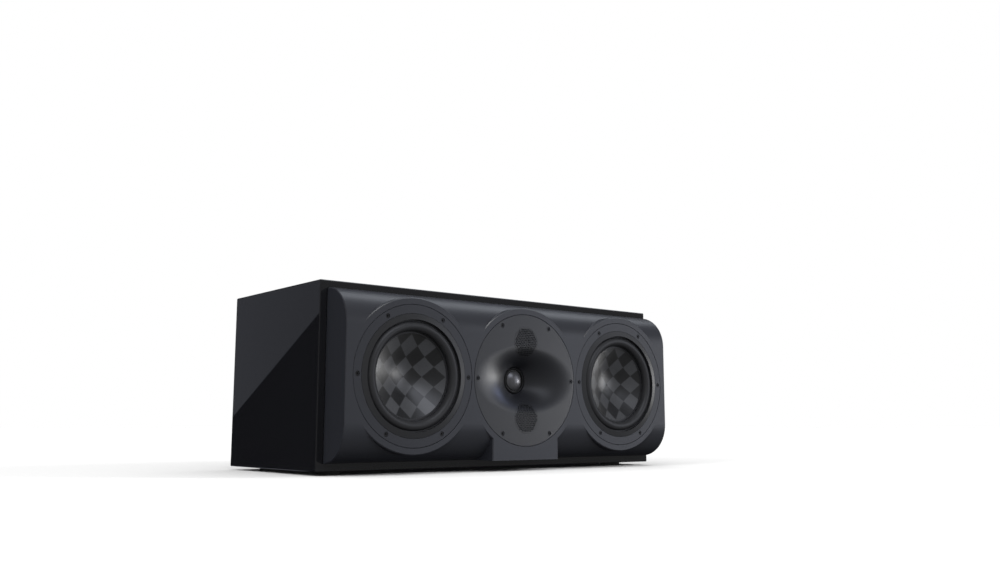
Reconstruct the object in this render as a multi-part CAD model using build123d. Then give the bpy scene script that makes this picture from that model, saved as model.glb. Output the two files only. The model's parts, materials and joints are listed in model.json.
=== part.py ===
"""Center channel speaker: two woofers beside a waveguide with three domes, in a lacquered box.

Millimetres. +X is right seen from the front, -Y is the front, +Z is up, and the feet stand on Z = 0.
Y = 0 lies halfway between the foremost and the rearmost point. Each driver is drawn on its own axis,
with z = 0 on the baffle's flat face and +z pointing out of it.
"""

from build123d import *
from math import atan2, cos, hypot, pi, radians, sin, sqrt, tan
import os

# Cabinet
cabinet_width = 598.0
cabinet_height = 240.0
cabinet_depth = 248.0
cabinet_wall = 18.0
cabinet_edge = 1.0
panel_fit = 0.15
foot_height = 5.0
foot_radius = 16.0
foot_inset = 42.0
foot_dish_radius = 9.0
foot_dish_depth = 1.5
brace_thickness = 15.0
brace_frame = 26.0
brace_corner = 14.0

# Front baffle
baffle_margin = 10.0
baffle_land = 1.5
baffle_edge_radius = 48.5
baffle_plug = 12.0
baffle_edge_break = 1.0
boss_radius = 100.5
boss_edge = 1.2
block_width = 119.0

# Driver flanges, the same on the woofers and on the waveguide
woofer_offset = 187.0
flange_radius = 91.5
flange_thickness = 6.0
flange_seam = 0.4
flange_edge = 0.5
gasket_thickness = 1.5
cutout_radius = 78.5
gasket_margin = 0.4
screw_count = 6
screw_circle = 85.2
screw_head_radius = 2.85
screw_head_height = 2.6
screw_head_sink = 0.7
screw_head_clearance = 0.4
screw_shank_radius = 1.6
screw_thread_length = 16.0
screw_hole_clearance = 0.35
screw_thread_clearance = 0.05
screw_socket_flat = 1.25
screw_socket_depth = 1.5

# Woofer frame, trim ring, surround and cone
ledge_radius = 79.9
ledge_depth = 4.0
frame_mouth = 69.0
trim_outer = 79.5
trim_inner = 72.0
trim_rise = 1.6
surround_thickness = 1.0
roll_outer = 70.3
roll_inner = 57.5
surround_lip_inner = 54.8
cone_rim_radius = 58.0
cone_rim_depth = 8.6
cone_thickness = 1.2
cone_wall_angle = 24.8
cone_nose_radius = 60.0
glue_gap = 0.15

# Woofer frame below the flange
skirt_top_outer = 76.0
skirt_bottom_outer = 58.0
skirt_bottom_inner = 54.0
spider_depth = 46.0
spider_ledge_inner = 47.0
frame_depth = 61.0
frame_floor = 4.0
frame_floor_bore = 30.0
frame_foot_radius = 51.0
window_count = 6
window_width = 44.0
window_top = 12.0
window_sill = 4.0

# Woofer motor
spider_thickness = 0.8
spider_waves = 6
spider_wave_height = 2.0
spider_lip = 2.2
former_radius = 19.0
former_thickness = 0.6
former_tail = 3.0
coil_thickness = 1.4
coil_height = 20.0
motor_gap = 0.6
top_plate_radius = 45.0
top_plate_thickness = 8.0
magnet_radius = 55.0
magnet_bore = 24.0
magnet_thickness = 18.0
back_plate_radius = 48.0
back_plate_thickness = 8.0
pole_lead = 1.0
pole_vent_radius = 5.0

# Waveguide
mouth_half_width = 88.0
mouth_half_height = 48.0
throat_radius = 19.0
horn_depth = 26.0
horn_flare = 2.0
horn_wall = 3.0
horn_rings = 10
horn_wall_rings = 7
throat_land = 24.0
throat_plate = 1.6
mid_offset = 52.7
grille_radius = 21.4
grille_thickness = 1.4
grille_seam = 0.2
grille_pitch = 2.9
grille_hole_radius = 1.15
grille_rim = 0.7
mid_depth = 13.0
mid_boss_wall = 1.2
chamber_radius = 78.0
chamber_wall = 2.0
chamber_depth = 62.0

# Dome drivers, three alike
dome_radius = 14.2
dome_height = 5.5
dome_thickness = 0.5
dome_lip_outer = 21.0
dome_lip_thickness = 0.8
dome_roll_outer = 18.6
dome_roll_inner = 15.0
dome_coil_radius = 13.5
dome_coil_thickness = 0.6
dome_coil_height = 7.0
dome_gap = 0.45
dome_travel_room = 1.0
pole_plate_thickness = 3.0
dome_magnet_radius = 11.6
dome_magnet_thickness = 6.0
cup_radius = 20.6
cup_rim_thickness = 3.4
cup_bore = 17.0
cup_floor = 3.2

# Reflex ports in the rear panel
port_inset = 94.0
port_radius = 25.0
port_wall = 3.0
port_length = 118.0
port_flange_radius = 40.0
port_flange_thickness = 4.0
port_fit = 0.2

# Terminals on the rear panel
plate_width = 104.0
plate_height = 62.0
plate_thickness = 4.0
plate_corner = 6.0
plate_window_margin = 12.0
plate_screw_inset = 7.0
plate_screw_head = 3.2
plate_screw_shank = 1.6
plate_screw_length = 14.0
post_spacing = 44.0
post_thread_radius = 3.0
post_collar_radius = 8.0
post_collar_height = 5.0
post_length = 18.5
post_tail = 16.0
post_socket_radius = 2.0
post_socket_depth = 15.0
post_thread_clearance = 0.15
post_fit = 0.1
washer_radius = 7.5
washer_thickness = 2.0
cap_radius = 8.5
cap_length = 18.0
cap_flutes = 12
cap_flute_radius = 1.4
nut_flat = 5.0
nut_thickness = 4.0

# Crossover on the cabinet floor, behind the dome chamber
board_width = 150.0
board_length = 96.0
board_thickness = 1.6
board_stand = 8.0
board_stand_radius = 4.0
board_inset = 7.0
board_back_gap = 34.0
inductor_outer = 19.0
inductor_inner = 8.0
inductor_height = 16.0
inductor_spacing = 44.0
capacitor_radius = 9.0
capacitor_length = 34.0
capacitor_spacing = 23.0
capacitor_count = 4
capacitor_lift = 0.2
resistor_length = 24.0
resistor_width = 9.0
resistor_height = 8.0
resistor_spacing = 14.0
resistor_count = 2

# Places that follow from the sizes above
baffle_depth = baffle_land + baffle_edge_radius
post_reach = plate_thickness + post_collar_height + washer_thickness + cap_length
overall_depth = trim_rise + baffle_depth + cabinet_depth + post_reach
face_y = trim_rise - overall_depth / 2
cabinet_front = face_y + baffle_depth
cabinet_back = cabinet_front + cabinet_depth
floor_z = foot_height + cabinet_wall
driver_z = foot_height + cabinet_height / 2
inner_width = cabinet_width - 2 * cabinet_wall
inner_height = cabinet_height - 2 * cabinet_wall
rear_inside = cabinet_back - cabinet_wall
brace_x = woofer_offset / 2
port_x = cabinet_width / 2 - port_inset
recess_depth = flange_thickness + gasket_thickness
recess_radius = flange_radius + flange_seam
lip_top = surround_thickness - ledge_depth
cone_rim = -cone_rim_depth
coil_inner = former_radius + former_thickness
gap_outer = coil_inner + coil_thickness + motor_gap
coil_middle = -frame_depth - top_plate_thickness / 2
coil_bottom = coil_middle - coil_height / 2
magnet_top = -frame_depth - top_plate_thickness
yoke_top = magnet_top - magnet_thickness
screw_head_top = -screw_head_sink
screw_seat = screw_head_top - screw_head_height
screw_end = -recess_depth - screw_thread_length
throat_bottom = -horn_depth - throat_plate
cup_top = -dome_lip_thickness
cup_bottom = cup_top - cup_rim_thickness - dome_magnet_thickness - cup_floor

BOTTOM = (Align.CENTER, Align.CENTER, Align.MIN)


def disc(radius, low, high):
    """Round bar on the local z axis."""
    return Pos(0, 0, low) * Cylinder(radius, high - low, align=BOTTOM)


def tube(inner, outer, low, high):
    """Round bar with a bore through it."""
    return disc(outer, low, high) - disc(inner, low, high)


def turned(*lines):
    """Solid of revolution about the local z axis from the lines of an (r, z) outline."""
    outline = make_face([edge for line in lines for edge in line.edges()])
    return revolve(Plane.XZ * outline, Axis.Z, 360)


def around(radius, count, start=0.0):
    """Places spread evenly round a circle."""
    turns = [start + 360 * i / count for i in range(count)]
    return [Pos(radius * cos(radians(a)), radius * sin(radians(a)), 0) for a in turns]


def fused(pieces):
    """One solid from pieces that touch or overlap."""
    first, *rest = pieces
    return first.fuse(*rest) if rest else first


def facing_front(x, z):
    """Location that turns a driver's local frame to the front."""
    return Location((x, face_y, z), (90, 0, 0))


def facing_rear(x, z):
    """Location on the rear panel's outer face, with local z pointing backwards."""
    return Location((x, cabinet_back, z), (-90, 0, 0))


def slab(width, depth, height, x, y, z):
    """Box given by its size, its middle in x, its front y and its lowest z."""
    return Pos(x, y, z) * Box(width, depth, height, align=(Align.CENTER, Align.MIN, Align.MIN))


def cabinet_shell():
    outer = slab(cabinet_width, cabinet_depth, cabinet_height, 0, cabinet_front, foot_height)
    outer = chamfer(outer.edges(), cabinet_edge)
    return outer - slab(inner_width, cabinet_depth, inner_height, 0, cabinet_front, floor_z)


def rear_panel():
    panel = slab(
        inner_width - 2 * panel_fit,
        cabinet_wall,
        inner_height - 2 * panel_fit,
        0,
        rear_inside,
        floor_z + panel_fit,
    )
    for side in (-1, 1):
        panel -= facing_rear(side * port_x, driver_z) * disc(
            port_radius + port_wall + port_fit, -cabinet_wall, 0
        )
    window = Box(
        plate_width - 2 * plate_window_margin,
        plate_height - 2 * plate_window_margin,
        cabinet_wall,
        align=(Align.CENTER, Align.CENTER, Align.MAX),
    )
    panel -= facing_rear(0, driver_z) * window
    for place in plate_corners():
        hole = disc(plate_screw_shank + screw_thread_clearance, -plate_screw_length, 0)
        panel -= facing_rear(0, driver_z) * place * hole
    return panel


def brace(x):
    """Upright panel with a large window that ties top, bottom, baffle and rear panel."""
    front = cabinet_front + baffle_plug + panel_fit
    depth = rear_inside - panel_fit - front
    height = inner_height - 2 * panel_fit
    low = floor_z + panel_fit
    panel = slab(brace_thickness, depth, height, x, front, low)
    window = slab(
        brace_thickness,
        depth - 2 * brace_frame,
        height - 2 * brace_frame,
        x,
        front + brace_frame,
        low + brace_frame,
    )
    return panel - fillet(window.edges().filter_by(Axis.X), brace_corner)


def feet():
    foot = turned(
        Polyline(
            (foot_dish_radius, 0),
            (foot_radius - foot_dish_depth, 0),
            (foot_radius, foot_height),
            (0, foot_height),
            (0, foot_dish_depth),
            (foot_dish_radius - foot_dish_depth, foot_dish_depth),
            close=True,
        )
    )
    x = cabinet_width / 2 - foot_inset
    front = cabinet_front + foot_inset
    back = cabinet_back - foot_inset
    return [Pos(side * x, y, 0) * foot for side in (-1, 1) for y in (front, back)]


def front_baffle():
    low = foot_height + baffle_margin
    high = foot_height + cabinet_height - baffle_margin
    length = cabinet_width - 2 * baffle_margin
    round_start = cabinet_front - baffle_land
    bend = baffle_edge_radius * sqrt(0.5)
    back = Polyline(
        (round_start, low),
        (cabinet_front, low),
        (cabinet_front, high),
        (round_start, high),
    )
    outline = make_face(
        [
            *back.edges(),
            ThreePointArc(
                (round_start, high),
                (round_start - bend, high - baffle_edge_radius + bend),
                (face_y, high - baffle_edge_radius),
            ),
            Line((face_y, high - baffle_edge_radius), (face_y, low + baffle_edge_radius)),
            ThreePointArc(
                (face_y, low + baffle_edge_radius),
                (round_start - bend, low + baffle_edge_radius - bend),
                (round_start, low),
            ),
        ]
    )
    body = Pos(-length / 2, 0, 0) * extrude(Plane.YZ * outline, length)
    ends = body.faces().filter_by(Axis.X)
    body = chamfer([e for face in ends for e in face.edges()], baffle_edge_break)

    boss = disc(boss_radius, -baffle_depth, 0)
    boss = chamfer(boss.faces().sort_by(Axis.Z)[-1].edges(), boss_edge)
    block = slab(block_width, baffle_depth, driver_z - low, 0, face_y, low)
    front_sides = block.faces().sort_by(Axis.Y)[0].edges().filter_by(Axis.Z)
    block = chamfer(front_sides, boss_edge)
    plug = slab(
        inner_width - 2 * panel_fit,
        baffle_plug,
        inner_height - 2 * panel_fit,
        0,
        cabinet_front,
        floor_z + panel_fit,
    )
    seats = [facing_front(x, driver_z) for x in driver_places()]
    body = fused([body, block, plug, *[seat * boss for seat in seats]])
    cuts = disc(recess_radius, -recess_depth, 0) + disc(
        cutout_radius, -baffle_depth - baffle_plug, -recess_depth
    )
    pilot = disc(screw_shank_radius + screw_thread_clearance, screw_end, -recess_depth)
    for seat in seats:
        body -= seat * cuts
        body -= [seat * place * pilot for place in around(screw_circle, screw_count)]
    return body


def driver_places():
    """Where the three driver axes cross the baffle, from left to right."""
    return (-woofer_offset, 0, woofer_offset)


def driver_gaskets():
    ring = tube(cutout_radius, flange_radius - gasket_margin, -recess_depth, -flange_thickness)
    hole = disc(screw_shank_radius + screw_hole_clearance, -recess_depth, -flange_thickness)
    ring -= [place * hole for place in around(screw_circle, screw_count)]
    return [facing_front(x, driver_z) * ring for x in driver_places()]


def driver_screws():
    head = disc(screw_head_radius, screw_seat, screw_head_top)
    socket = extrude(RegularPolygon(screw_socket_flat, 6, major_radius=False), screw_socket_depth)
    shank = disc(screw_shank_radius, screw_end, screw_seat)
    screw = head + shank - Pos(0, 0, screw_head_top - screw_socket_depth) * socket
    places = around(screw_circle, screw_count)
    return [facing_front(x, driver_z) * place * screw for x in driver_places() for place in places]


def flange_holes():
    """Counterbored screw holes of one driver flange."""
    bore = disc(screw_head_radius + screw_head_clearance, screw_seat, 0)
    shank = disc(screw_shank_radius + screw_hole_clearance, -flange_thickness, screw_seat)
    return [place * (bore + shank) for place in around(screw_circle, screw_count)]


def woofer_basket():
    frame = turned(
        Polyline(
            (flange_radius - flange_edge, 0),
            (ledge_radius, 0),
            (ledge_radius, -ledge_depth),
            (frame_mouth, -ledge_depth),
            (frame_mouth, -flange_thickness),
            (skirt_bottom_inner, -spider_depth),
            (spider_ledge_inner, -spider_depth),
            (spider_ledge_inner, frame_floor - frame_depth),
            (frame_floor_bore, frame_floor - frame_depth),
            (frame_floor_bore, -frame_depth),
            (frame_foot_radius, -frame_depth),
            (skirt_bottom_outer, -spider_depth - window_sill),
            (skirt_top_outer, -flange_thickness),
            (flange_radius, -flange_thickness),
            (flange_radius, -flange_edge),
            close=True,
        )
    )
    window = Pos(skirt_top_outer, 0, window_sill - spider_depth) * Box(
        2 * (skirt_top_outer - spider_ledge_inner),
        window_width,
        spider_depth - window_sill - window_top,
        align=BOTTOM,
    )
    turns = [360 * (i + 0.5) / window_count for i in range(window_count)]
    frame -= [Rot(0, 0, turn) * window for turn in turns]
    return frame - flange_holes()


def trim_ring():
    """Ring that covers the glued edge of the surround and rises inwards."""
    return turned(
        Polyline(
            (trim_outer, 0),
            (trim_outer, lip_top),
            (trim_inner, lip_top),
            (trim_inner, trim_rise),
            close=True,
        )
    )


def woofer_surround():
    """Half roll between a flat lip on the frame's ledge and one on the cone's rim."""
    outer_end = (roll_outer, lip_top)
    inner_end = (roll_inner, cone_rim + surround_thickness)
    middle = ((outer_end[0] + inner_end[0]) / 2, (outer_end[1] + inner_end[1]) / 2)
    span = hypot(outer_end[0] - inner_end[0], outer_end[1] - inner_end[1])
    tilt = atan2(outer_end[1] - inner_end[1], outer_end[0] - inner_end[0])
    under = span / 2 - surround_thickness

    def on_roll(radius, angle):
        return (middle[0] + radius * cos(tilt + angle), middle[1] + radius * sin(tilt + angle))

    under_outer = on_roll(under, 0)
    under_inner = on_roll(under, pi)
    return turned(
        ThreePointArc(outer_end, on_roll(span / 2, pi / 2), inner_end),
        Polyline(
            inner_end,
            (surround_lip_inner, inner_end[1]),
            (surround_lip_inner, cone_rim),
            (under_inner[0], cone_rim),
            under_inner,
        ),
        ThreePointArc(under_inner, on_roll(under, pi / 2), under_outer),
        Polyline(
            under_outer,
            (under_outer[0], -ledge_depth),
            (trim_outer, -ledge_depth),
            (trim_outer, lip_top),
            outer_end,
        ),
    )


def cone_shape():
    """Where the dish's round middle meets its straight wall, a point half way along it, and its depth."""
    slope = radians(cone_wall_angle)
    meet_radius = cone_nose_radius * sin(slope)
    meet_z = cone_rim - (surround_lip_inner - meet_radius) * tan(slope)
    centre_z = meet_z - cone_nose_radius * (1 - cos(slope))
    half = slope / 2
    bend = (cone_nose_radius * sin(half), centre_z + cone_nose_radius * (1 - cos(half)))
    return (meet_radius, meet_z), bend, centre_z


def woofer_cone():
    meet, bend, centre_z = cone_shape()

    def back(point):
        return (point[0], point[1] - cone_thickness)

    rim = (surround_lip_inner, cone_rim)
    edge = (cone_rim_radius, cone_rim)
    middle = (0, centre_z)
    return turned(
        ThreePointArc(middle, bend, meet),
        Polyline(meet, rim, edge, back(edge), back(rim), back(meet)),
        ThreePointArc(back(meet), back(bend), back(middle)),
        Line(back(middle), middle),
    )


def former_top():
    """Height of the back of the dish over the coil former."""
    centre_z = cone_shape()[2]
    rise = cone_nose_radius - sqrt(cone_nose_radius**2 - former_radius**2)
    return centre_z + rise - cone_thickness - glue_gap


def woofer_spider():
    """Corrugated disc that centres the coil former."""
    inner = coil_inner + glue_gap
    outer = skirt_bottom_inner - glue_gap
    first = inner + spider_lip
    wave = (spider_ledge_inner - first) / spider_waves

    def folds(base):
        lifts = [spider_wave_height if i % 2 else -spider_wave_height for i in range(spider_waves)]
        peaks = [(first + (i + 0.5) * wave, base + lift) for i, lift in enumerate(lifts)]
        return [(inner, base), (first, base), *peaks, (spider_ledge_inner, base), (outer, base)]

    low = -spider_depth
    return turned(Polyline(*folds(low), *reversed(folds(low + spider_thickness)), close=True))


def woofer_yoke():
    """Back plate and pole in one steel piece, with the pole's vent."""
    pole_top = pole_lead - frame_depth
    pole_radius = former_radius - motor_gap
    back = yoke_top - back_plate_thickness
    yoke = disc(back_plate_radius, back, yoke_top) + disc(pole_radius, yoke_top, pole_top)
    return yoke - disc(pole_vent_radius, back, pole_top)


def add_woofer(parts, side, x):
    seat = facing_front(x, driver_z)
    pieces = {
        "basket": woofer_basket(),
        "trim_ring": trim_ring(),
        "surround": woofer_surround(),
        "cone": woofer_cone(),
        "spider": woofer_spider(),
        "coil_former": tube(former_radius, coil_inner, coil_bottom - former_tail, former_top()),
        "voice_coil": tube(coil_inner, coil_inner + coil_thickness, coil_bottom, coil_bottom + coil_height),
        "top_plate": tube(gap_outer, top_plate_radius, magnet_top, -frame_depth),
        "magnet": tube(magnet_bore, magnet_radius, yoke_top, magnet_top),
        "yoke": woofer_yoke(),
    }
    for name, piece in pieces.items():
        parts[f"{side}_woofer_{name}"] = seat * piece


def horn(count, extra):
    """Horn lofted from its lowest rings and grown by a wall. It leaves the face level at its mouth."""
    rings = []
    for ring in range(count + 1):
        share = ring / horn_rings
        half_width = throat_radius + (mouth_half_width - throat_radius) * share + extra
        half_height = throat_radius + (mouth_half_height - throat_radius) * share + extra
        depth = horn_depth * (1 - share) ** horn_flare
        rings.append(Pos(0, 0, -depth) * Ellipse(half_width, half_height))
    return loft(rings)


def waveguide_block():
    """Everything in front of the waveguide's back, with the horn taken out of it."""
    plate = disc(flange_radius, throat_bottom, 0)
    return plate - horn(horn_rings, 0) - disc(throat_radius, throat_bottom, -horn_depth)


def waveguide():
    """Round plate with the horn hanging from its back and a short collar round each mid dome."""
    flange = disc(flange_radius, -flange_thickness, 0)
    flange = chamfer(flange.faces().sort_by(Axis.Z)[-1].edges(), flange_edge)
    keep = flange + horn(horn_wall_rings, horn_wall)
    keep += disc(throat_land, throat_bottom, -horn_depth)
    bore = grille_radius + grille_seam
    mids = [Pos(0, side * mid_offset, 0) for side in (-1, 1)]
    keep += [place * disc(bore + mid_boss_wall, -mid_depth, -flange_thickness) for place in mids]
    body = waveguide_block() & keep
    body -= [place * disc(bore, throat_bottom, 0) for place in mids]
    return body - flange_holes()


def grille(side):
    """Perforated insert that carries the waveguide's surface across the opening of a mid dome."""
    block = waveguide_block()
    skin = block - Pos(0, 0, -grille_thickness) * block
    place = Pos(0, side * mid_offset, 0)
    insert = skin & (place * disc(grille_radius, throat_bottom, 0))
    hole = extrude(RegularPolygon(grille_hole_radius, 6), throat_bottom)
    reach = grille_radius - grille_rim - grille_hole_radius
    steps = int(reach / grille_pitch) + 1
    row_height = grille_pitch * sqrt(0.75)
    holes = []
    for row in range(-steps, steps + 1):
        for column in range(-2 * steps, 2 * steps + 1):
            x = grille_pitch * (column + row / 2)
            y = row_height * row
            if hypot(x, y) <= reach:
                holes.append(place * Pos(x, y, 0) * hole)
    return insert - holes


def dome_chamber():
    """Closed pot on the back of the waveguide."""
    inner = chamber_radius - chamber_wall
    pot = disc(chamber_radius, -chamber_depth, -flange_thickness)
    return pot - disc(inner, chamber_wall - chamber_depth, -flange_thickness)


def dome():
    """Dome with a flat rim, its rim on z = 0 of the dome driver's own frame."""
    sphere = (dome_radius**2 + dome_height**2) / (2 * dome_height)
    half = asin_half(dome_radius, sphere)
    bend = (sphere * sin(half), dome_height - sphere * (1 - cos(half)))

    def under(point):
        return (point[0], point[1] - dome_thickness)

    top = (0, dome_height)
    foot = (dome_radius, 0)
    rim = (dome_roll_inner - glue_gap, 0)
    return turned(
        ThreePointArc(top, bend, foot),
        Polyline(foot, rim, under(rim), under(foot)),
        ThreePointArc(under(foot), under(bend), under(top)),
        Line(under(top), top),
    )


def asin_half(chord, radius):
    """Half of the angle at the centre of an arc over the given half chord."""
    return atan2(chord, sqrt(radius**2 - chord**2)) / 2


def dome_surround():
    """Small half roll with a flat lip that is clamped under the waveguide."""
    radius = (dome_roll_outer - dome_roll_inner) / 2
    middle = dome_roll_inner + radius
    under = radius - dome_lip_thickness / 2
    low = -dome_lip_thickness
    return turned(
        ThreePointArc((dome_roll_outer, 0), (middle, radius), (dome_roll_inner, 0)),
        Polyline((dome_roll_inner, 0), (dome_roll_inner, low), (middle - under, low)),
        ThreePointArc((middle - under, low), (middle, low + under), (middle + under, low)),
        Polyline((middle + under, low), (dome_lip_outer, low), (dome_lip_outer, 0), (dome_roll_outer, 0)),
    )


def dome_coil():
    top = -dome_thickness
    return tube(dome_coil_radius, dome_coil_radius + dome_coil_thickness, top - dome_coil_height, top)


def dome_cup():
    """Steel cup round the magnet, stepped down under the dome's rim so that the dome can travel."""
    gap = dome_coil_radius + dome_coil_thickness + dome_gap
    cup = disc(cup_radius, cup_bottom, cup_top) - disc(gap, cup_top - cup_rim_thickness, cup_top)
    cup -= disc(dome_roll_inner + dome_gap, cup_top - dome_travel_room, cup_top)
    return cup - disc(cup_bore, cup_bottom + cup_floor, cup_top - cup_rim_thickness)


def add_domes(parts):
    places = {
        "tweeter": facing_front(0, driver_z) * Pos(0, 0, throat_bottom),
        "upper_mid": facing_front(0, driver_z + mid_offset) * Pos(0, 0, -mid_depth),
        "lower_mid": facing_front(0, driver_z - mid_offset) * Pos(0, 0, -mid_depth),
    }
    magnet_low = cup_bottom + cup_floor
    magnet_high = magnet_low + dome_magnet_thickness
    magnet = disc(dome_magnet_radius, magnet_low, magnet_high)
    pole_plate = disc(dome_coil_radius - dome_gap, magnet_high, magnet_high + pole_plate_thickness)
    for name, place in places.items():
        parts[f"{name}_dome"] = place * dome()
        parts[f"{name}_surround"] = place * dome_surround()
        parts[f"{name}_coil"] = place * dome_coil()
    for name, piece in (("cups", dome_cup()), ("magnets", magnet), ("pole_plates", pole_plate)):
        parts[f"dome_{name}"] = [place * piece for place in places.values()]


def reflex_port():
    """Tube with a rounded mouth, its flange on the rear panel."""
    inner = port_radius
    outer = port_radius + port_wall
    flare = port_flange_thickness
    bend = flare * (1 - sqrt(0.5))
    return turned(
        ThreePointArc((inner + flare, flare), (inner + bend, flare - bend), (inner, 0)),
        Polyline(
            (inner, 0),
            (inner, -port_length),
            (outer, -port_length),
            (outer, 0),
            (port_flange_radius, 0),
            (port_flange_radius, flare / 2),
            (port_flange_radius - flare / 2, flare),
            (inner + flare, flare),
        ),
    )


def plate_corners():
    """Screw places of the terminal plate, about its middle."""
    x = plate_width / 2 - plate_screw_inset
    y = plate_height / 2 - plate_screw_inset
    return [Pos(side_x * x, side_y * y, 0) for side_x in (-1, 1) for side_y in (-1, 1)]


def terminal_plate():
    plate = extrude(RectangleRounded(plate_width, plate_height, plate_corner), plate_thickness)
    hole = disc(plate_screw_shank + screw_hole_clearance, 0, plate_thickness)
    post = disc(post_thread_radius + post_fit, 0, plate_thickness)
    plate -= [place * hole for place in plate_corners()]
    return plate - [Pos(side * post_spacing / 2, 0, 0) * post for side in (-1, 1)]


def terminal_screws():
    """Button-head screws of the terminal plate."""
    head = disc(plate_screw_head, plate_thickness, plate_thickness + plate_screw_head)
    ball = Pos(0, 0, plate_thickness) * Sphere(plate_screw_head)
    screw = (head & ball) + disc(plate_screw_shank, -plate_screw_length, plate_thickness)
    return [facing_rear(0, driver_z) * place * screw for place in plate_corners()]


def post_stud():
    """Threaded post with a collar on the plate and a plug socket in its end."""
    end = plate_thickness + post_collar_height + post_length
    collar = disc(post_collar_radius, plate_thickness, plate_thickness + post_collar_height)
    stud = collar + disc(post_thread_radius, -post_tail, end)
    return stud - disc(post_socket_radius, end - post_socket_depth, end)


def post_nut():
    nut = extrude(RegularPolygon(nut_flat, 6, major_radius=False), -nut_thickness)
    return nut - disc(post_thread_radius + screw_thread_clearance, -nut_thickness, 0)


def post_cap():
    low = plate_thickness + post_collar_height + washer_thickness
    cap = disc(cap_radius, low, low + cap_length)
    cap = chamfer(cap.edges().filter_by(GeomType.CIRCLE), cap_flute_radius / 2)
    flute = disc(cap_flute_radius, low, low + cap_length)
    cap -= [place * flute for place in around(cap_radius + cap_flute_radius / 2, cap_flutes)]
    return cap - disc(post_thread_radius + post_thread_clearance, low, low + cap_length)


def add_terminals(parts):
    low = plate_thickness + post_collar_height
    washer = tube(post_thread_radius + post_thread_clearance, washer_radius, low, low + washer_thickness)
    seats = {
        "left": facing_rear(-post_spacing / 2, driver_z),
        "right": facing_rear(post_spacing / 2, driver_z),
    }
    parts["terminal_plate"] = facing_rear(0, driver_z) * terminal_plate()
    parts["terminal_screws"] = terminal_screws()
    parts["post_nuts"] = [seat * post_nut() for seat in seats.values()]
    for side, seat in seats.items():
        parts[f"{side}_post_stud"] = seat * post_stud()
        parts[f"{side}_post_washer"] = seat * washer
        parts[f"{side}_post_cap"] = seat * post_cap()


def add_crossover(parts):
    top = floor_z + board_stand + board_thickness
    front = rear_inside - board_back_gap - board_length
    middle = front + board_length / 2
    board = slab(board_width, board_length, board_thickness, 0, front, floor_z + board_stand)
    stand_x = board_width / 2 - board_inset
    stand_y = board_length / 2 - board_inset
    stand = disc(board_stand_radius, floor_z, floor_z + board_stand)
    stands = [
        Pos(side_x * stand_x, middle + side_y * stand_y, 0) * stand
        for side_x in (-1, 1)
        for side_y in (-1, 1)
    ]
    parts["crossover_board"] = fused([board, *stands])
    coil = tube(inductor_inner, inductor_outer, top, top + inductor_height)
    parts["crossover_inductors"] = [
        Pos(i * inductor_spacing, front + inductor_outer + board_inset, 0) * coil for i in (-1, 0, 1)
    ]
    can = Rot(90, 0, 0) * disc(capacitor_radius, -capacitor_length / 2, capacitor_length / 2)
    can_y = front + board_length - board_inset - capacitor_length / 2
    can_x = board_width / 2 - 2 * board_inset - capacitor_radius
    can_z = top + capacitor_radius + capacitor_lift
    parts["crossover_capacitors"] = [
        Pos(i * capacitor_spacing - can_x, can_y, can_z) * can for i in range(capacitor_count)
    ]
    block_x = can_x - resistor_width / 2
    block_y = can_y - resistor_length / 2
    block = slab(resistor_width, resistor_length, resistor_height, block_x, block_y, top)
    parts["crossover_resistors"] = [
        Pos(-i * resistor_spacing, 0, 0) * block for i in range(resistor_count)
    ]


def speaker():
    """Every piece of the speaker by name: one solid, or a list of like solids."""
    front = facing_front(0, driver_z)
    parts = {
        "cabinet_shell": cabinet_shell(),
        "rear_panel": rear_panel(),
        "left_brace": brace(-brace_x),
        "right_brace": brace(brace_x),
        "feet": feet(),
        "front_baffle": front_baffle(),
        "driver_gaskets": driver_gaskets(),
        "driver_screws": driver_screws(),
        "waveguide": front * waveguide(),
        "upper_grille": front * grille(1),
        "lower_grille": front * grille(-1),
        "dome_chamber": front * dome_chamber(),
        "left_port": facing_rear(-port_x, driver_z) * reflex_port(),
        "right_port": facing_rear(port_x, driver_z) * reflex_port(),
    }
    add_woofer(parts, "left", -woofer_offset)
    add_woofer(parts, "right", woofer_offset)
    add_domes(parts)
    add_terminals(parts)
    add_crossover(parts)
    return parts


def main():
    os.makedirs("parts", exist_ok=True)
    for name, piece in speaker().items():
        shape = Compound(children=piece) if isinstance(piece, list) else piece
        export_step(shape, f"parts/{name}.step")


main()
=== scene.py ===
import json
from math import hypot, radians

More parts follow.
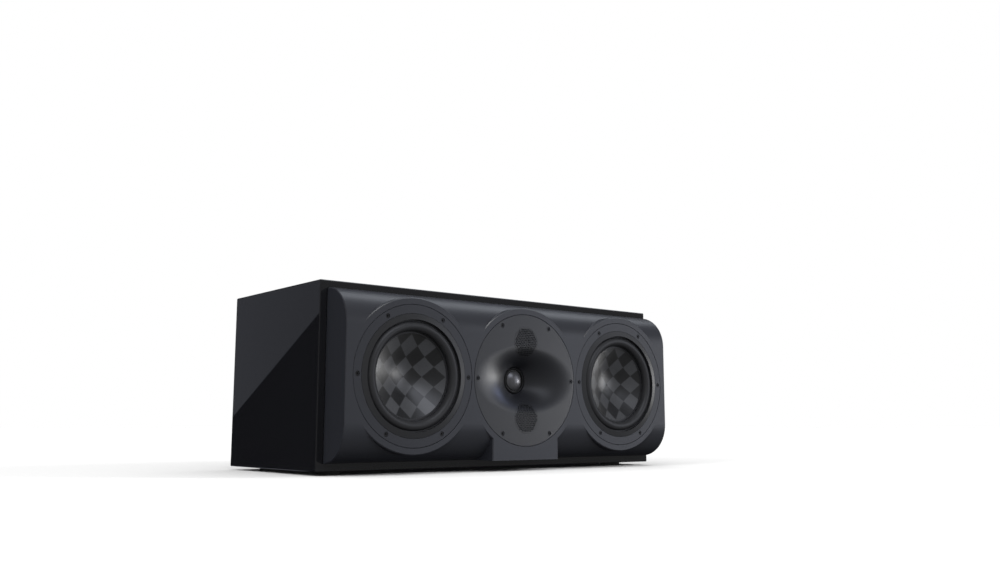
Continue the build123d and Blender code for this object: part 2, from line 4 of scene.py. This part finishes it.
import bpy
from mathutils import Matrix, Vector
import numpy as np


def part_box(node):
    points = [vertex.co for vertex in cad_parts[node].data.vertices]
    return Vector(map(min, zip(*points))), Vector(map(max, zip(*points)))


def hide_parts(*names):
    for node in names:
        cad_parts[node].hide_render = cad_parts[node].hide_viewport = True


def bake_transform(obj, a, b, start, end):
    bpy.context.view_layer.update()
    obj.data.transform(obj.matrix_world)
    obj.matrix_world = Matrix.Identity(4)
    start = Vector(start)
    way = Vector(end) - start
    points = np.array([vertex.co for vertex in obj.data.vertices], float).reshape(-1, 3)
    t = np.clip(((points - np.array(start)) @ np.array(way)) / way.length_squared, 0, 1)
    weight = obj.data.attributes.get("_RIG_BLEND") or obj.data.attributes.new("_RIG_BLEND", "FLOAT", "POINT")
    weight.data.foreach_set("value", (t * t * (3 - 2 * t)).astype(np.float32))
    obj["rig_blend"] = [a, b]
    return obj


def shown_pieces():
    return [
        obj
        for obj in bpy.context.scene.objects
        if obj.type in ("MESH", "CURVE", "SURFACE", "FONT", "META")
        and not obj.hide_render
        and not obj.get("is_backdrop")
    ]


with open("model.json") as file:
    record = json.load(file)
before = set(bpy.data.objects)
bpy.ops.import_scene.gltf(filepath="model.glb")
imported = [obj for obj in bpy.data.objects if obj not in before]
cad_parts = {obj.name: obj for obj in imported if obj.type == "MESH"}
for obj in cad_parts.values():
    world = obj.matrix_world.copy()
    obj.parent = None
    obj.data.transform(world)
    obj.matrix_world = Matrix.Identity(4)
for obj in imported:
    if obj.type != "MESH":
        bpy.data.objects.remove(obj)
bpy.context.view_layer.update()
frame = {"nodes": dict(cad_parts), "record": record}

nodes = frame["nodes"]


def middle_of(node):
    """Middle of a node's box in the shared frame, in metres."""
    low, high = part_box(node)
    return (Vector(low) + Vector(high)) / 2


# Middles of the drivers' diaphragms
WOOFERS = {side: middle_of(f"{side}_woofer_cone") for side in ("left", "right")}
DOMES = {dome: middle_of(f"{dome}_dome") for dome in ("tweeter", "upper_mid", "lower_mid")}

# Radii in metres at which a flexing ring is held still, and at which its diaphragm carries it
WOOFER_ROLL = (0.0703, 0.0575)
SPIDER_FOLDS = (0.0470, 0.0220)
DOME_ROLL = (0.0186, 0.0150)

# Radii in metres between which a dome's bare metal gives way to a dark ring: glue, and painted shade of the
# gap round the dome
GLUE_AND_SHADE_RING = (0.0128, 0.0134)

# Ends of the names of the pieces that show in the drivers' hollows, on the front and at the back
DRIVER_FACES = ("_cone", "_dome", "_soft_roll", "_grille", "waveguide")
FRONT_FACES = ("front_baffle", "_basket", "driver_screws")
REAR_FACES = ("rear_panel", "_port", "terminal_plate", "terminal_screws", "_stud", "_washer", "_cap")

# Colours that more than one finish has
SATIN_GREY = (0.0262, 0.0280, 0.0355)
DARK_GLUE_AND_SHADE = (0.006, 0.006, 0.0065)
PLASTIC_BLACK = (0.010, 0.010, 0.011)

# Reach of the floor from the middle, and what the lights aim at, in metres
FLOOR_REACH = 40.0
FRONT_MIDDLE = (0.0, -0.1, 0.12)

# Tints of the soft boxes
WHITE = (1.0, 1.0, 1.0)
SKY_WHITE = (0.88, 0.93, 1.0)
FRONT_WHITE = (0.92, 0.97, 1.12)
HIGH_WHITE = (0.92, 0.96, 1.08)
CARD_WHITE = (0.93, 0.97, 1.12)
COOL_BLUE = (0.72, 0.85, 1.35)

# Camera: place and reach in metres, turns in degrees about X, Y and Z, lens and sensor in millimetres
CAMERA_AT = (-0.8938, -1.1989, 0.0606)
CAMERA_TURNS = (98.460, 0.0, -39.247)
LENS = 35.11
SENSOR = 36.0
CAMERA_REACH = 200.0


class Wiring:
    """Adds nodes to a node tree and joins them."""

    def __init__(self, tree):
        self.tree = tree

    def add(self, kind, **settings):
        node = self.tree.nodes.new("ShaderNode" + kind)
        for name, value in settings.items():
            setattr(node, name, value)
        return node

    def feed(self, socket, value):
        """Joins another node's output to a socket, or sets the socket to a plain value."""
        if isinstance(value, bpy.types.NodeSocket):
            self.tree.links.new(value, socket)
        else:
            socket.default_value = value

    def math(self, operation, *values):
        node = self.add("Math", operation=operation)
        for socket, value in zip(node.inputs, values):
            self.feed(socket, value)
        return node.outputs[0]

    def plus(self, first, second):
        return self.math("ADD", first, second)

    def minus(self, first, second):
        return self.math("SUBTRACT", first, second)

    def times(self, first, second):
        return self.math("MULTIPLY", first, second)

    def times_plus(self, first, second, third):
        return self.math("MULTIPLY_ADD", first, second, third)

    def distance(self, first, second):
        """Length of the long side of a right triangle."""
        return self.math("SQRT", self.times_plus(first, first, self.times(second, second)))

    def centred(self, value, spread):
        """One plus a spread share of a value between nought and one, about its middle."""
        return self.times_plus(self.minus(value, 0.5), spread, 1.0)

    def arch(self, share):
        """Nought at both ends of a share, a quarter half way."""
        return self.times(share, self.minus(1.0, share))

    def between(self, value, start, end):
        """Smooth step from one range to another."""
        node = self.add("MapRange", interpolation_type="SMOOTHSTEP")
        self.feed(node.inputs["Value"], value)
        for label, (first, last) in (("From", start), ("To", end)):
            node.inputs[f"{label} Min"].default_value = first
            node.inputs[f"{label} Max"].default_value = last
        return node.outputs["Result"]

    def mix(self, share, first, second):
        """Colour between two colours."""
        node = self.add("Mix", data_type="RGBA")
        for name, value in (("Factor_Float", share), ("A_Color", first), ("B_Color", second)):
            self.feed(next(s for s in node.inputs if s.identifier == name), value)
        return next(s for s in node.outputs if s.identifier == "Result_Color")

    def lighten(self, colour, amount):
        """Colour times an amount near one."""
        node = self.add("VectorMath", operation="SCALE")
        self.feed(node.inputs["Vector"], colour)
        self.feed(node.inputs["Scale"], amount)
        return node.outputs["Vector"]

    def place(self):
        """Point on the piece in the shared frame, in metres."""
        return self.add("TexCoord").outputs["Object"]

    def parts_of(self, vector):
        node = self.add("SeparateXYZ")
        self.feed(node.inputs[0], vector)
        return node.outputs

    def point(self, x, y, z):
        node = self.add("CombineXYZ")
        for socket, value in zip(node.inputs, (x, y, z)):
            self.feed(socket, value)
        return node.outputs[0]

    def noise(self, vector, scale, detail):
        node = self.add("TexNoise")
        self.feed(node.inputs["Vector"], vector)
        self.feed(node.inputs["Scale"], scale)
        node.inputs["Detail"].default_value = detail
        return node.outputs["Fac"]


SOCKETS = {"value": "NodeSocketFloat", "colour": "NodeSocketColor"}


def effect(name, inputs, outputs):
    """Empty shader node group with named sockets: its wiring, what it is given and what it makes."""
    group = bpy.data.node_groups.new(name, "ShaderNodeTree")
    for label, kind in inputs:
        group.interface.new_socket(name=label, in_out="INPUT", socket_type=SOCKETS[kind])
    for label, kind in outputs:
        group.interface.new_socket(name=label, in_out="OUTPUT", socket_type=SOCKETS[kind])
    start = group.nodes.new("NodeGroupInput")
    end = group.nodes.new("NodeGroupOutput")
    return Wiring(group), start.outputs, end.inputs


def fine_grain():
    """Moulded or sprayed surface: fine grain, a slow drift of tone, and a roughness that drifts too."""
    drifts_per_metre = 11.0
    grain_share = 0.4
    drift_share = 0.6
    wires, given, made = effect(
        "fine_grain",
        [("Colour", "colour"), ("Tone spread", "value"), ("Grains per metre", "value"),
         ("Rough", "value"), ("Rough spread", "value")],
        [("Colour", "colour"), ("Roughness", "value"), ("Height", "value")],
    )
    place = wires.place()
    grain = wires.noise(place, given["Grains per metre"], detail=3.0)
    drift = wires.noise(place, drifts_per_metre, detail=4.0)
    both = wires.times_plus(grain, grain_share, wires.times(drift, drift_share))
    tone = wires.centred(both, given["Tone spread"])
    dulling = wires.centred(drift, given["Rough spread"])
    wires.feed(made["Colour"], wires.lighten(given["Colour"], tone))
    wires.feed(made["Roughness"], wires.times(given["Rough"], dulling))
    wires.feed(made["Height"], grain)
    return wires.tree


def settled_dust():
    """Thin dust that lies in patches on what faces up, and dulls it."""
    dust_grey = (0.30, 0.29, 0.27, 1.0)
    dulling = 0.8
    patches_per_metre = 38.0
    steepness = 3.0
    wires, given, made = effect(
        "settled_dust",
        [("Colour", "colour"), ("Roughness", "value"), ("Dust", "value")],
        [("Colour", "colour"), ("Roughness", "value")],
    )
    up = wires.parts_of(wires.add("NewGeometry").outputs["Normal"])["Z"]
    flat = wires.math("POWER", wires.math("MAXIMUM", up, 0.0), steepness)
    patch = wires.noise(wires.place(), patches_per_metre, detail=6.0)
    cover = wires.times(wires.times(flat, patch), given["Dust"])
    wires.feed(made["Colour"], wires.mix(cover, given["Colour"], dust_grey))
    wires.feed(made["Roughness"], wires.times_plus(cover, dulling, given["Roughness"]))
    return wires.tree


def tow_weave():
    """Flat fibre tapes woven over and under on the bias, wider towards the rim of the dish, with painted
    sheen: the tapes that lie one way are painted light and the others dark, standing in for one black fibre
    catching the light differently.
    """
    mm_per_metre = 1000.0
    tapes_per_mm = 0.04177
    tapes_lost_per_mm = 0.0000888
    fibres_per_tape = 34.0
    second_layer = 7.0
    fibre_share = 0.5
    tape_share = 0.5
    tone_spread = 0.28
    rough_spread = 0.3
    fibre_height = 0.12
    pillow_roundness = 0.25
    wires, given, made = effect(
        "tow_weave",
        [("Centre X", "value"), ("Centre Z", "value"), ("First tape", "value"),
         ("Light", "colour"), ("Dark", "colour"), ("Rough", "value")],
        [("Colour", "colour"), ("Roughness", "value"), ("Height", "value")],
    )
    place = wires.parts_of(wires.place())
    x = wires.times(wires.minus(place["X"], given["Centre X"]), mm_per_metre)
    z = wires.times(wires.minus(place["Z"], given["Centre Z"]), mm_per_metre)
    tapes = wires.times_plus(wires.distance(x, z), -tapes_lost_per_mm, tapes_per_mm)
    across = wires.times(wires.plus(x, z), tapes)
    along = wires.times(wires.minus(x, z), tapes)
    tape_across = wires.math("FLOOR", across)
    tape_along = wires.math("FLOOR", along)
    count = wires.plus(wires.plus(tape_across, tape_along), given["First tape"])
    over = wires.math("FLOORED_MODULO", count, 2.0)

    fine_across = wires.point(wires.times(across, fibres_per_tape), along, 0.0)
    fine_along = wires.point(across, wires.times(along, fibres_per_tape), second_layer)
    fibres_across = wires.noise(fine_across, scale=1.0, detail=3.0)
    fibres_along = wires.noise(fine_along, scale=1.0, detail=3.0)
    change = wires.times(over, wires.minus(fibres_along, fibres_across))
    fibres = wires.plus(fibres_across, change)
    odd = wires.add("TexWhiteNoise", noise_dimensions="2D")
    wires.feed(odd.inputs["Vector"], wires.point(tape_across, tape_along, 0.0))
    tone = wires.times_plus(fibres, fibre_share, wires.times(odd.outputs["Value"], tape_share))
    # Painted sheen: the light and dark tape colours stand in for how light falls along and across the
    # fibres, not for two colours of fibre
    colour = wires.mix(over, given["Dark"], given["Light"])
    wires.feed(made["Colour"], wires.lighten(colour, wires.centred(tone, tone_spread)))
    wires.feed(made["Roughness"], wires.times(given["Rough"], wires.centred(fibres, rough_spread)))

    arch_across = wires.arch(wires.math("FRACT", across))
    arch_along = wires.arch(wires.math("FRACT", along))
    pillow = wires.math("POWER", wires.times(arch_across, arch_along), pillow_roundness)
    wires.feed(made["Height"], wires.times_plus(fibres, fibre_height, pillow))
    return wires.tree


def close_lines():
    """Fine lines at an even pitch along one direction: wire, turned metal or thread."""
    quarter_to_one = 4.0
    wires, given, made = effect(
        "close_lines",
        [("Along", "value"), ("Pitch", "value"), ("Colour", "colour"), ("Groove", "colour")],
        [("Colour", "colour"), ("Height", "value")],
    )
    share = wires.math("FRACT", wires.math("DIVIDE", given["Along"], given["Pitch"]))
    round_top = wires.times(wires.arch(share), quarter_to_one)
    wires.feed(made["Colour"], wires.mix(round_top, given["Groove"], given["Colour"]))
    wires.feed(made["Height"], wires.math("SQRT", round_top))
    return wires.tree


GRAIN = fine_grain()
DUST = settled_dust()
TOW = tow_weave()
LINES = close_lines()


def finish_of(name, **shader):
    """New material with a principled shader: the material, its wiring and the shader's inputs."""
    material = bpy.data.materials.new(name)
    material.use_nodes = True
    wires = Wiring(material.node_tree)
    principled = next(n for n in material.node_tree.nodes if n.type == "BSDF_PRINCIPLED")
    for label, value in shader.items():
        principled.inputs[label.replace("_", " ")].default_value = value
    return material, wires, principled.inputs


def place_effect(wires, group, **values):
    """Puts an effect in a material, with that material's own values, and gives what it makes."""
    node = wires.add("Group", node_tree=group)
    for label, value in values.items():
        wires.feed(node.inputs[label.replace("_", " ")], value)
    return node.outputs


def bumped(wires, inputs, height, depth):
    """Raises a surface by a height map, with its depth in metres."""
    bump = wires.add("Bump")
    bump.inputs["Distance"].default_value = depth
    wires.feed(bump.inputs["Height"], height)
    wires.feed(inputs["Normal"], bump.outputs["Normal"])


def coloured(wires, inputs, skin):
    """Gives a shader the colour and roughness that an effect makes."""
    wires.feed(inputs["Base Color"], skin["Colour"])
    wires.feed(inputs["Roughness"], skin["Roughness"])


def grained(name, colour, rough, grains=1400.0, tone=0.12, drift=0.15, depth=0.00002, dust=0.0, **shader):
    """Painted, moulded, cast or plated finish."""
    material, wires, inputs = finish_of(name, **shader)
    skin = place_effect(
        wires, GRAIN, Colour=(*colour, 1.0), Tone_spread=tone, Grains_per_metre=grains,
        Rough=rough, Rough_spread=drift,
    )
    bumped(wires, inputs, skin["Height"], depth)
    if dust:
        skin = place_effect(wires, DUST, Colour=skin["Colour"], Roughness=skin["Roughness"], Dust=dust)
    coloured(wires, inputs, skin)
    return material


def lined(name, along, pitch, colour, groove, rough, depth, **shader):
    """Finish with fine even lines along X, Y or Z."""
    material, wires, inputs = finish_of(name, **shader)
    place = wires.parts_of(wires.place())
    lines = place_effect(
        wires, LINES, Along=place[along], Pitch=pitch, Colour=(*colour, 1.0), Groove=(*groove, 1.0)
    )
    skin = place_effect(
        wires, GRAIN, Colour=lines["Colour"], Tone_spread=0.2, Grains_per_metre=900.0,
        Rough=rough, Rough_spread=0.2,
    )
    coloured(wires, inputs, skin)
    bumped(wires, inputs, lines["Height"], depth)
    return material


def woven_dish(side, first_tape):
    """Woven dish of one woofer, with painted sheen on its tapes. The first tape, nought or one, swaps which
    tapes are painted light and which dark, as the light falls on each woofer.
    """
    material, wires, inputs = finish_of(
        f"{side}_woven_dish", Specular_IOR_Level=0.55, Coat_Weight=0.15, Coat_Roughness=0.35
    )
    weave = place_effect(
        wires, TOW, Centre_X=WOOFERS[side].x, Centre_Z=WOOFERS[side].z, First_tape=first_tape,
        # Painted sheen: Light and Dark are one black fibre painted lit and shaded
        Light=(0.037, 0.038, 0.041, 1.0), Dark=(0.0050, 0.0052, 0.0057, 1.0), Rough=0.36,
    )
    coloured(wires, inputs, weave)
    bumped(wires, inputs, weave["Height"], depth=0.00006)
    return material


def rimmed_dome():
    """Bare metal dome with a dark ring round the edge: the glue of its surround, and painted shade standing
    in for the gap round the dome.
    """
    bareness = 0.75
    glue_dulling = 0.16
    tweeter_height = DOMES["tweeter"].z
    mid_offset = DOMES["upper_mid"].z - tweeter_height
    material, wires, inputs = finish_of("dome_metal")
    place = wires.parts_of(wires.place())
    off_tweeter = wires.math("ABSOLUTE", wires.minus(place["Z"], tweeter_height))
    off_mid = wires.math("ABSOLUTE", wires.minus(off_tweeter, mid_offset))
    rise = wires.math("MINIMUM", off_tweeter, off_mid)
    glue_and_shade = wires.between(wires.distance(place["X"], rise), GLUE_AND_SHADE_RING, (0.0, 1.0))
    skin = place_effect(
        wires, GRAIN, Colour=(0.155, 0.155, 0.165, 1.0), Tone_spread=0.08, Grains_per_metre=2400.0,
        Rough=0.34, Rough_spread=0.15,
    )
    # Painted shade: the ring darkens the rim like the shadowed gap round the dome, as well as colouring the
    # glue
    wires.feed(inputs["Base Color"], wires.mix(glue_and_shade, skin["Colour"], (*DARK_GLUE_AND_SHADE, 1.0)))
    wires.feed(inputs["Metallic"], wires.times_plus(glue_and_shade, -bareness, bareness))
    wires.feed(inputs["Roughness"], wires.times_plus(glue_and_shade, glue_dulling, skin["Roughness"]))
    bumped(wires, inputs, skin["Height"], depth=0.000006)
    return material


def case_finishes():
    """Finishes of the box, its front, and the frames and fastenings on them, by material slot."""
    fine_satin = {"rough": 0.36, "grains": 2600.0, "tone": 0.1, "depth": 0.000012}
    return {
        "lacquer": grained("black_lacquer", (0.0098, 0.0101, 0.0121), rough=0.010, grains=260.0,
                           tone=0.2, drift=0.4, depth=0.0000004, dust=0.006),
        "rear_paint": grained("satin_rear_paint", (0.017, 0.017, 0.0185), rough=0.42, grains=900.0,
                              depth=0.00005),
        "fibreboard": grained("bare_fibreboard", (0.30, 0.20, 0.11), rough=0.85, grains=1800.0, tone=0.5,
                              depth=0.00008),
        "foot_rubber": grained("foot_rubber", (0.012, 0.012, 0.012), rough=0.75, grains=2200.0,
                               depth=0.00004),
        "baffle_paint": grained("satin_baffle_paint", SATIN_GREY, dust=0.004, **fine_satin),
        "frame_paint": grained("satin_frame_paint", SATIN_GREY, **fine_satin),
        "trim": grained("satin_trim", (0.024, 0.025, 0.028), **fine_satin),
        "foam": grained("gasket_foam", (0.010, 0.010, 0.010), rough=0.95, grains=3000.0, depth=0.0001),
        "black_screw": grained("black_screw", (0.030, 0.030, 0.032), rough=0.34, grains=3000.0,
                               Metallic=0.6),
        "port_plastic": grained("port_plastic", PLASTIC_BLACK, rough=0.38, grains=1800.0, depth=0.00003),
    }


def driver_finishes():
    """Finishes of the drivers, apart from the woven dishes, by material slot."""
    return {
        "waveguide_plastic": grained("satin_waveguide", (0.0110, 0.0120, 0.0160), rough=0.42, grains=2800.0,
                                     tone=0.1, depth=0.000012),
        "grille_plastic": grained("grille_plastic", (0.013, 0.014, 0.017), rough=0.42, grains=2800.0,
                                  Specular_IOR_Level=0.4),
        "chamber_plastic": grained("chamber_plastic", (0.012, 0.012, 0.012), rough=0.5),
        "surround_rubber": grained("surround_rubber", (0.023, 0.0235, 0.026), rough=0.40, grains=3200.0),
        "spider_cloth": lined("spider_cloth", "X", pitch=0.0011, colour=(0.42, 0.31, 0.13),
                              groove=(0.24, 0.16, 0.06), rough=0.85, depth=0.0001),
        "former_film": grained("former_film", (0.33, 0.14, 0.04), rough=0.3, Coat_Weight=0.3),
        "copper_winding": lined("copper_winding", "Y", pitch=0.00035, colour=(0.62, 0.26, 0.10),
                                groove=(0.20, 0.07, 0.02), rough=0.3, depth=0.0001, Metallic=0.9),
        "plated_steel": grained("plated_steel", (0.50, 0.50, 0.51), rough=0.3, grains=700.0, tone=0.15,
                                Metallic=1.0),
        "ferrite": grained("ferrite", (0.028, 0.027, 0.027), rough=0.6, grains=1500.0, tone=0.3,
                           depth=0.00005),
        "neodymium": grained("nickel_plate", (0.60, 0.59, 0.57), rough=0.22, Metallic=1.0),
        "dome_metal": rimmed_dome(),
    }


def terminal_finishes():
    """Finishes of the terminals and the crossover, by material slot."""
    glossy_cap = {"rough": 0.22, "grains": 900.0, "depth": 0.00001}
    return {
        "plate_paint": grained("terminal_plate_paint", (0.012, 0.012, 0.013), rough=0.4, grains=2000.0),
        "gilt_brass": lined("gilt_brass", "Y", pitch=0.0005, colour=(0.83, 0.58, 0.22),
                            groove=(0.52, 0.33, 0.10), rough=0.24, depth=0.00004, Metallic=1.0),
        "black_cap": grained("black_cap", PLASTIC_BLACK, **glossy_cap),
        "red_cap": grained("red_cap", (0.38, 0.012, 0.012), **glossy_cap),
        "board": grained("crossover_board", (0.02, 0.09, 0.045), rough=0.35, grains=1500.0, tone=0.3),
        "capacitor_film": grained("capacitor_film", (0.46, 0.04, 0.025), rough=0.25, Coat_Weight=0.4),
        "ceramic": grained("resistor_ceramic", (0.70, 0.69, 0.65), rough=0.7, grains=2000.0, depth=0.00005),
    }


def dress(piece, material):
    """Gives a whole piece one finish."""
    piece.data.materials.clear()
    piece.data.materials.append(material)
    for face in piece.data.polygons:
        face.material_index = 0


def dress_nodes():
    """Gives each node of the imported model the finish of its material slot, and returns the finishes."""
    made = {**case_finishes(), **driver_finishes(), **terminal_finishes()}
    # The two woofers carry their painted sheen on opposite tapes, as the light falls on each
    dishes = {"left": woven_dish("left", first_tape=0.0), "right": woven_dish("right", first_tape=1.0)}
    for part in frame["record"]["subparts"]:
        name, slot = part["node"], part["material_slot"]
        material = dishes[name.split("_")[0]] if slot == "woven_cone" else made[slot]
        dress(nodes[name], material)
    return made


def flexing_ring(name, node, material, diaphragm, centre, radii):
    """Ring that is held at its outer edge and follows a diaphragm at its inner one."""
    held, carried = radii
    mesh = nodes[node].data.copy()
    mesh.name = name
    ring = bpy.data.objects.new(name, mesh)
    bpy.context.scene.collection.objects.link(ring)
    dress(ring, material)
    middle = Vector((centre.x, 0.0, centre.z))
    start = middle + Vector((held, 0, 0))
    end = middle + Vector((carried, 0, 0))
    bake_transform(ring, "cabinet", diaphragm, start=start, end=end)
    shares = []
    for vertex in mesh.vertices:
        radius = hypot(vertex.co.x - centre.x, vertex.co.z - centre.z)
        share = min(max((held - radius) / (held - carried), 0.0), 1.0)
        eased = share * share * (3 - 2 * share)
        shares.append(eased)
    mesh.attributes["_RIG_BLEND"].data.foreach_set("value", shares)
    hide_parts(node)


def flexing_rings(made):
    """Surrounds and spiders that give with the diaphragms."""
    rubber, cloth = made["surround_rubber"], made["spider_cloth"]
    dark_rubber = grained("dome_surround_rubber", DARK_GLUE_AND_SHADE, rough=0.5, grains=3200.0,
                          Specular_IOR_Level=0.25)
    for side, centre in WOOFERS.items():
        cone = f"{side}_cone"
        flexing_ring(f"{side}_soft_roll", f"{side}_woofer_surround", rubber, cone,
                     centre, WOOFER_ROLL)
        flexing_ring(f"{side}_soft_spider", f"{side}_woofer_spider", cloth, cone,
                     centre, SPIDER_FOLDS)
    for dome, centre in DOMES.items():
        flexing_ring(f"{dome}_soft_roll", f"{dome}_surround", dark_rubber,
                     f"{dome}_diaphragm", centre, DOME_ROLL)


def pale_floor():
    """Wide pale floor that shows the part's shadow and throws no light back up."""
    near, far = -FLOOR_REACH, FLOOR_REACH
    mesh = bpy.data.meshes.new("pale_floor")
    mesh.from_pydata([(near, near, 0), (far, near, 0), (far, far, 0), (near, far, 0)], [], [(0, 1, 2, 3)])
    floor = bpy.data.objects.new("pale_floor", mesh)
    bpy.context.scene.collection.objects.link(floor)
    dress(floor, grained("pale_floor", (0.53, 0.53, 0.53), rough=0.9, grains=40.0, tone=0.01,
                         depth=0.00001, Specular_IOR_Level=0.0))
    floor.visible_diffuse = False
    floor.visible_glossy = False
    floor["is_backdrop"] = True
    return floor


def studio_air():
    """White behind the part, soft light from above the horizon, and little to mirror."""
    world = bpy.data.worlds.new("studio_air")
    bpy.context.scene.world = world
    world.use_nodes = True
    world.node_tree.nodes.clear()
    wires = Wiring(world.node_tree)
    ray = wires.add("LightPath").outputs
    way = wires.parts_of(wires.add("TexCoord").outputs["Generated"])
    forward = wires.times(way["Y"], -1.0)

    # Each takes a range of a ray's direction to a range of light, or for the last two to a share of it
    sky = wires.between(way["Z"], (-0.25, 0.75), (0.21, 1.75))
    front = wires.between(forward, (-0.4, 0.7), (0.0, 0.25))
    under = wires.between(way["Z"], (-0.6, 0.05), (0.7, 1.0))
    roof = wires.between(way["Z"], (0.25, 0.6), (1.0, 0.3))

    soft = wires.times(sky, ray["Is Diffuse Ray"])
    mirrored = wires.times(wires.times(front, wires.times(under, roof)), ray["Is Glossy Ray"])
    light = wires.plus(ray["Is Camera Ray"], wires.plus(soft, mirrored))
    background = wires.add("Background")
    background.inputs["Color"].default_value = (*WHITE, 1.0)
    wires.feed(background.inputs["Strength"], light)
    wires.feed(wires.add("OutputWorld").inputs["Surface"], background.outputs[0])


def lights_only(light, takers):
    """Keeps a light to some of the pieces."""
    group = bpy.data.collections.new(f"{light.name}_takers")
    for piece in takers:
        group.objects.link(piece)
    light.light_linking.receiver_collection = group


def soft_box(name, takers, at, size, power, tint=WHITE, aim=FRONT_MIDDLE, slant=0.0):
    """Soft light on some of the pieces: place and size in metres, power in watts, slant in degrees."""
    lamp = bpy.data.lights.new(name, "AREA")
    lamp.shape = "RECTANGLE"
    lamp.size, lamp.size_y = size
    lamp.energy = power
    lamp.color = tint
    box = bpy.data.objects.new(name, lamp)
    bpy.context.scene.collection.objects.link(box)
    turn = (Vector(aim) - Vector(at)).to_track_quat("-Z", "Y").to_matrix().to_4x4()
    box.matrix_world = Matrix.Translation(at) @ turn @ Matrix.Rotation(radians(slant), 4, "Z")
    box.visible_camera = False
    lights_only(box, takers)
    return box


def slanting_light(name, floor, heading, power, spread):
    """Even light on the floor alone, that draws a long faint shadow of the part along its heading."""
    lamp = bpy.data.lights.new(name, "SUN")
    lamp.energy = power
    lamp.angle = radians(spread)
    light = bpy.data.objects.new(name, lamp)
    bpy.context.scene.collection.objects.link(light)
    light.rotation_euler = Vector(heading).to_track_quat("-Z", "Y").to_euler()
    lights_only(light, [floor])


def mirror_card(name, case, at, size, power, slant):
    """Bright card behind the part that shows only in the lacquer, and shows there through the floor."""
    facing = (at[0], 0.0, at[2])
    card = soft_box(name, [case], at, size, power, CARD_WHITE, facing, slant)
    card.light_linking.blocker_collection = card.light_linking.receiver_collection


def studio_lights(floor):
    """Soft boxes for the front, the drivers, the back and the floor, and cards for the lacquer."""
    case, baffle = nodes["cabinet_shell"], nodes["front_baffle"]
    left_cone, right_cone = nodes["left_woofer_cone"], nodes["right_woofer_cone"]
    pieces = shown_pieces()
    hollows = [piece for piece in pieces if piece.name.endswith(DRIVER_FACES)]
    dishes = [piece for piece in hollows if piece.name.endswith("_cone")]
    hard_hollows = [piece for piece in hollows if not piece.name.endswith(("_soft_roll", "_cone"))]
    satin = [piece for piece in pieces if piece != case]
    plain = [piece for piece in satin if piece not in hollows]
    faces = [piece for piece in plain if piece.name.endswith(FRONT_FACES)]
    behind = [piece for piece in pieces if piece.name.endswith(REAR_FACES)]

    soft_box("right_soft_box", plain, at=(2.6, -0.5, 0.26), size=(1.6, 0.5), power=10.0)
    soft_box("low_soft_box", hard_hollows, at=(1.6, -0.55, 0.12), size=(1.3, 0.22), power=13.0)
    soft_box("cool_soft_box", hard_hollows, at=(1.7, -0.2, 0.75), size=(0.5, 0.4), power=5.0,
             tint=COOL_BLUE)
    soft_box("top_soft_box", pieces, at=(1.0, 0.4, 2.4), size=(3.6, 1.1), power=21.0, tint=SKY_WHITE,
             aim=(1.0, -0.1, 0.12))
    soft_box("floor_soft_box", [floor], at=(-0.2, -1.0, 0.8), size=(1.2, 0.4), power=5.0,
             aim=(-0.1, -0.35, 0.0))
    slanting_light("right_slant", floor, heading=(-0.74, 0.578, -0.342), power=2.1, spread=14.0)
    slanting_light("left_slant", floor, heading=(0.88, 0.12, -0.46), power=1.5, spread=24.0)
    soft_box("front_soft_box", satin, at=(2.3, -2.3, 0.55), size=(1.4, 1.9), power=9.0, tint=FRONT_WHITE)
    soft_box("left_soft_box", faces, at=(-2.2, -2.6, 0.6), size=(2.2, 1.2), power=3.5, tint=FRONT_WHITE)
    soft_box("high_soft_box", hollows, at=(-0.1, -1.6, 1.4), size=(1.0, 0.7), power=5.8, tint=HIGH_WHITE)
    soft_box("dish_front_box", dishes, at=(1.8, -2.4, 0.2), size=(0.6, 0.6), power=3.2)
    soft_box("left_dish_box", [left_cone], at=(1.6, -0.9, 0.08), size=(1.3, 0.16), power=9.0)
    soft_box("right_dish_box", [right_cone], at=(1.6, -0.42, 0.08), size=(1.3, 0.5), power=15.0)
    soft_box("dish_high_box", dishes, at=(-0.1, -1.6, 1.4), size=(1.2, 1.0), power=7.5, tint=HIGH_WHITE)
    soft_box("edge_soft_box", [baffle], at=(-0.4, -1.0, 2.4), size=(0.5, 0.5), power=11.0)
    soft_box("rear_soft_box", behind, at=(1.3, 2.2, 1.3), size=(1.5, 1.5), power=45.0)
    soft_box("rear_side_box", behind, at=(-2.2, 1.3, 0.5), size=(0.7, 1.0), power=22.0)

    mirror_card("left_card", case, at=(-0.8105, 1.8, 0.5915), size=(2.0, 1.0), power=1.25, slant=50.0)
    mirror_card("high_right_card", case, at=(0.81, 1.8, 0.59), size=(2.0, 1.0), power=1.25, slant=-50.0)
    mirror_card("low_right_card", case, at=(1.23, 1.9, -0.56), size=(2.2, 0.9), power=1.4, slant=-58.0)
    mirror_card("low_left_card", case, at=(-1.3, 1.9, -0.78), size=(2.2, 0.9), power=1.4, slant=0.0)


def camera():
    """Camera where the photograph was taken from."""
    lens = bpy.data.cameras.new("camera")
    lens.lens = LENS
    lens.sensor_width = SENSOR
    lens.clip_end = CAMERA_REACH
    eye = bpy.data.objects.new("camera", lens)
    bpy.context.scene.collection.objects.link(eye)
    eye.location = CAMERA_AT
    eye.rotation_euler = [radians(turn) for turn in CAMERA_TURNS]
    bpy.context.scene.camera = eye
    bpy.context.scene.view_settings.view_transform = "Standard"


flexing_rings(dress_nodes())
studio_air()
studio_lights(pale_floor())
camera()
